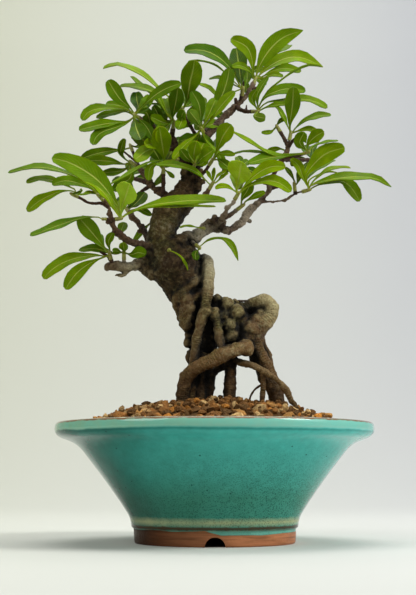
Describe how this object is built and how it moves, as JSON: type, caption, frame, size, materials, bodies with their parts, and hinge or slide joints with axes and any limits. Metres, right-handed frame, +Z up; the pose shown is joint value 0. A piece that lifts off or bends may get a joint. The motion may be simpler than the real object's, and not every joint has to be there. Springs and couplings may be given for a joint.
{
  "type": "bonsai tree in pot",
  "caption": "Small trained firethorn tree with bare twisting roots and sprays of long oval leaves, in a round flared glazed pot filled with granular soil",
  "frame": {"origin": "bottom centre of the bounding box, on the plane that the pot's foot stands on", "axes": "+Z up along the tree, -Y towards the viewer of the picture, +X to that viewer's right"},
  "size_m": [0.2306, 0.1894, 0.3241],
  "materials": {
    "glaze": "gloss",
    "screen": "matte",
    "granules": "matte",
    "bark": "matte",
    "leaf": "satin"
  },
  "bodies": {
    "root": {"drain_screen": "screen", "leaves_back_crown": "leaf", "leaves_back_high": "leaf", "leaves_back_left": "leaf", "leaves_back_low": "leaf", "leaves_back_mid": "leaf", "leaves_back_right": "leaf", "leaves_back_top": "leaf", "leaves_centre": "leaf", "leaves_centre_left": "leaf", "leaves_centre_right": "leaf", "leaves_front_right": "leaf", "leaves_front_right_low": "leaf", "leaves_left_front": "leaf", "leaves_left_low": "leaf", "leaves_left_shoot": "leaf", "leaves_left_single": "leaf", "leaves_left_tip": "leaf", "leaves_left_twig": "leaf", "leaves_left_under": "leaf", "leaves_long_left": "leaf", "leaves_low_right": "leaf", "leaves_mid_bright": "leaf", "leaves_mid_left": "leaf", "leaves_rear_left": "leaf", "leaves_right_behind": "leaf", "leaves_right_inner": "leaf", "leaves_right_mid": "leaf", "leaves_right_stub": "leaf", "leaves_right_tip": "leaf", "leaves_right_top": "leaf", "leaves_thin_right": "leaf", "leaves_top": "leaf", "leaves_top_crown": "leaf", "leaves_top_left": "leaf", "leaves_top_mid": "leaf", "leaves_top_right_base": "leaf", "leaves_trunk_front": "leaf", "leaves_trunk_left": "leaf", "leaves_upper_left": "leaf", "leaves_upper_left_far": "leaf", "leaves_upper_left_tip": "leaf", "leaves_upper_right": "leaf", "pot": "glaze", "soil": "granules", "trunk": "bark"}
  },
  "joints": []
}
